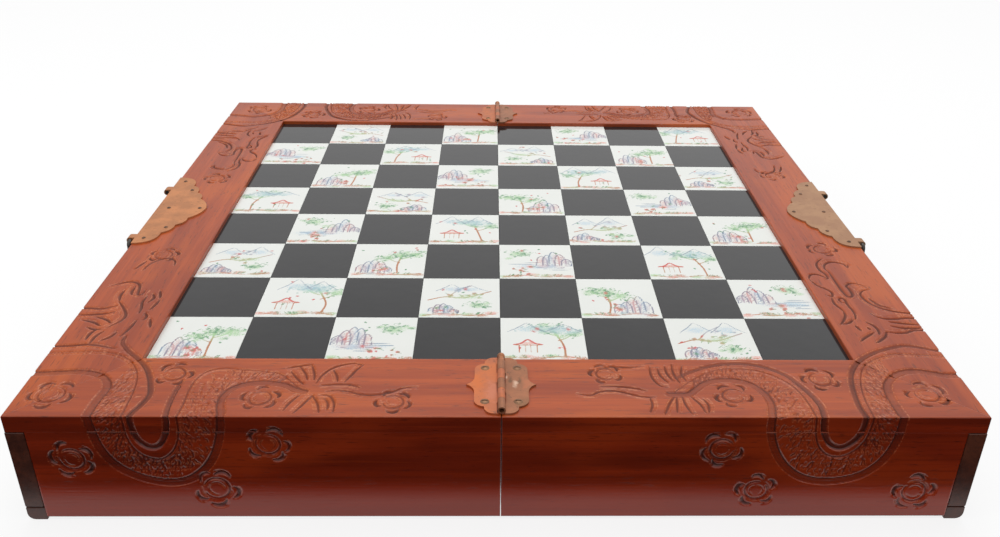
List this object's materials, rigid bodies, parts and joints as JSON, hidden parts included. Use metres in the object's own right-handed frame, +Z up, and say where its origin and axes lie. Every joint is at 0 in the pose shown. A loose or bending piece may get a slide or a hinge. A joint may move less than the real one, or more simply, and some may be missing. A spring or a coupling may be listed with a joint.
{
  "type": "folding chess box",
  "caption": "Flat folding chess box with a carved wooden frame around inlaid squares, brass butterfly hinges on the seam, drop handles and lined drawers at both ends",
  "frame": {"origin": "On the ground under the middle of the open box, in the plane of the seam between the halves.", "axes": "+X runs across both halves to the right, +Y away from the player along the seam and the hinge pins, +Z up out of the squares."},
  "size_m": [0.5032, 0.48, 0.0694],
  "materials": {
    "carved_frame": "glossy red-brown carved hardwood",
    "case_wood": "dark red-brown lacquered hardwood",
    "end_wood": "dark stained hardwood",
    "inner_wood": "plain light plywood",
    "black_square": "black high-gloss inlay",
    "white_square": "white glossy inlay painted with sprigs",
    "brass": "worn coppery brass",
    "old_brass": "dull aged brass",
    "lining": "red flocked cloth"
  },
  "bodies": {
    "right_half": {"right_front_rail": "carved_frame", "right_side_rail": "carved_frame", "right_back_rail": "carved_frame", "right_front_wall": "case_wood", "right_back_wall": "case_wood", "right_seam_wall": "case_wood", "right_stile": "end_wood", "right_partitions": "inner_wood", "right_sill": "case_wood", "right_bottom": "inner_wood", "right_deck": "inner_wood", "right_dark_squares": "black_square", "right_light_squares": "white_square", "right_handle_plate": "old_brass", "right_plate_nails": "brass", "near_hinge_right_leaf": "brass", "near_hinge_pin": "brass", "far_hinge_right_leaf": "brass", "far_hinge_pin": "brass", "right_hinge_screws": "brass"},
    "left_half": {"left_front_rail": "carved_frame", "left_side_rail": "carved_frame", "left_back_rail": "carved_frame", "left_front_wall": "case_wood", "left_back_wall": "case_wood", "left_seam_wall": "case_wood", "left_stile": "end_wood", "left_partitions": "inner_wood", "left_sill": "case_wood", "left_bottom": "inner_wood", "left_deck": "inner_wood", "left_dark_squares": "black_square", "left_light_squares": "white_square", "left_handle_plate": "old_brass", "left_plate_nails": "brass", "near_hinge_left_leaf": "brass", "far_hinge_left_leaf": "brass", "left_hinge_screws": "brass"},
    "right_handle": {"right_handle": "old_brass"},
    "left_handle": {"left_handle": "old_brass"},
    "right_near_drawer": {"right_near_tray": "inner_wood", "right_near_front": "end_wood", "right_near_dividers": "inner_wood", "right_near_lining": "lining", "right_near_knob": "old_brass"},
    "right_far_drawer": {"right_far_tray": "inner_wood", "right_far_front": "end_wood", "right_far_dividers": "inner_wood", "right_far_lining": "lining", "right_far_knob": "old_brass"},
    "left_near_drawer": {"left_near_tray": "inner_wood", "left_near_front": "end_wood", "left_near_dividers": "inner_wood", "left_near_lining": "lining", "left_near_knob": "old_brass"},
    "left_far_drawer": {"left_far_tray": "inner_wood", "left_far_front": "end_wood", "left_far_dividers": "inner_wood", "left_far_lining": "lining", "left_far_knob": "old_brass"}
  },
  "joints": [
    {"name": "fold", "type": "hinge", "parent": "right_half", "child": "left_half", "pos_m": [0, 0, 0.0673], "axis": [0, 1, 0], "range_deg": [0, 180]},
    {"name": "right_handle_swing", "type": "hinge", "parent": "right_half", "child": "right_handle", "pos_m": [0.2434, 0, 0.0637], "axis": [0, -1, 0], "range_deg": [0, 90]},
    {"name": "right_near_drawer_slide", "type": "slide", "parent": "right_half", "child": "right_near_drawer", "axis": [1, 0, 0], "range_m": [0, 0.165]},
    {"name": "right_far_drawer_slide", "type": "slide", "parent": "right_half", "child": "right_far_drawer", "axis": [1, 0, 0], "range_m": [0, 0.165]},
    {"name": "left_handle_swing", "type": "hinge", "parent": "left_half", "child": "left_handle", "pos_m": [-0.2434, 0, 0.0637], "axis": [0, 1, 0], "range_deg": [0, 90]},
    {"name": "left_near_drawer_slide", "type": "slide", "parent": "left_half", "child": "left_near_drawer", "axis": [-1, 0, 0], "range_m": [0, 0.165]},
    {"name": "left_far_drawer_slide", "type": "slide", "parent": "left_half", "child": "left_far_drawer", "axis": [-1, 0, 0], "range_m": [0, 0.165]}
  ]
}
